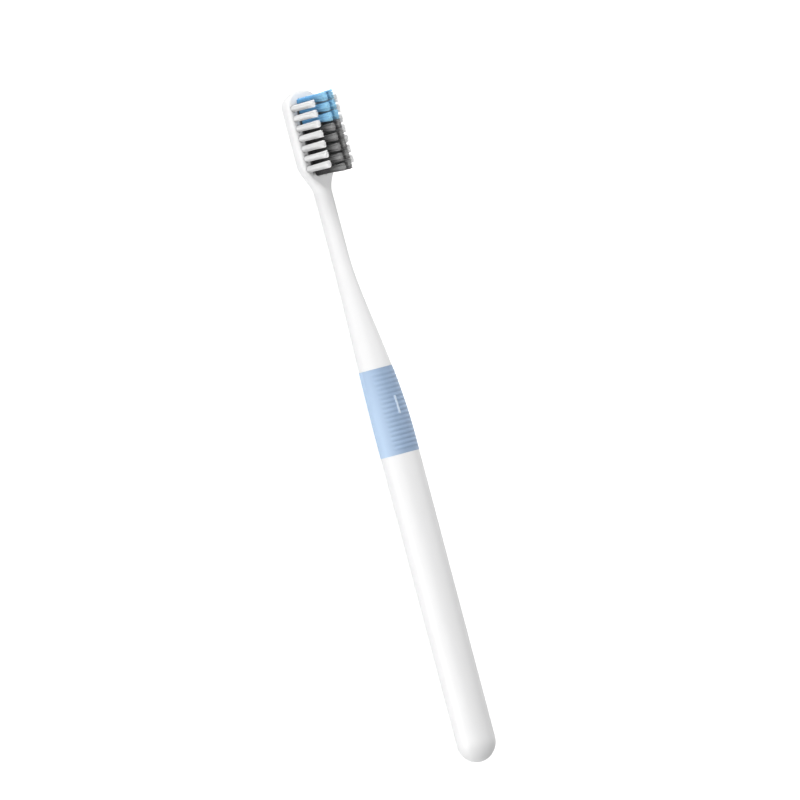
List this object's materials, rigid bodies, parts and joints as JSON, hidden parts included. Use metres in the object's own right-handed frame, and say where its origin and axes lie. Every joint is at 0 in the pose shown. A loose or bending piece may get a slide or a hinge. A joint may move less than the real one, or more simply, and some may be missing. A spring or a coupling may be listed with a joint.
{
  "type": "manual toothbrush",
  "caption": "Manual toothbrush with a slim rounded handle, a ribbed soft grip sleeve, a round neck and a rectangular head of upright bristle tufts.",
  "frame": {"origin": "on the table that the brush lies on, below the middle of its length and width", "axes": "+X along the handle from the head's tip to the butt, +Y to the right of the head as seen from the front with the head up, +Z out of the bristled face"},
  "size_m": [0.183, 0.0118, 0.0148],
  "materials": {
    "white_plastic": "white moulded polypropylene, soft gloss",
    "light_blue_rubber": "light blue thermoplastic rubber, matt",
    "white_bristles": "white nylon filament, end rounded",
    "blue_bristles": "sky blue nylon filament, end rounded",
    "grey_bristles": "dark grey nylon filament, end rounded",
    "anchor_metal": "flat drawn wire, bare"
  },
  "bodies": {
    "root": {"handle": "white_plastic", "grip_sleeve": "light_blue_rubber", "anchors_left_outer": "anchor_metal", "anchors_left_inner": "anchor_metal", "anchors_right_inner": "anchor_metal", "anchors_right_outer": "anchor_metal", "tuft_left_outer_1": "white_bristles", "tuft_left_outer_2": "white_bristles", "tuft_left_outer_3": "white_bristles", "tuft_left_outer_4": "white_bristles", "tuft_left_outer_5": "white_bristles", "tuft_left_outer_6": "white_bristles", "tuft_left_outer_7": "white_bristles", "tuft_left_inner_1": "blue_bristles", "tuft_left_inner_2": "blue_bristles", "tuft_left_inner_3": "blue_bristles", "tuft_left_inner_4": "grey_bristles", "tuft_left_inner_5": "grey_bristles", "tuft_left_inner_6": "grey_bristles", "tuft_left_inner_7": "grey_bristles", "tuft_left_inner_8": "grey_bristles", "tuft_right_inner_1": "blue_bristles", "tuft_right_inner_2": "blue_bristles", "tuft_right_inner_3": "blue_bristles", "tuft_right_inner_4": "grey_bristles", "tuft_right_inner_5": "grey_bristles", "tuft_right_inner_6": "grey_bristles", "tuft_right_inner_7": "grey_bristles", "tuft_right_inner_8": "grey_bristles", "tuft_right_outer_1": "white_bristles", "tuft_right_outer_2": "white_bristles", "tuft_right_outer_3": "white_bristles", "tuft_right_outer_4": "white_bristles", "tuft_right_outer_5": "white_bristles", "tuft_right_outer_6": "white_bristles", "tuft_right_outer_7": "white_bristles"}
  },
  "joints": []
}
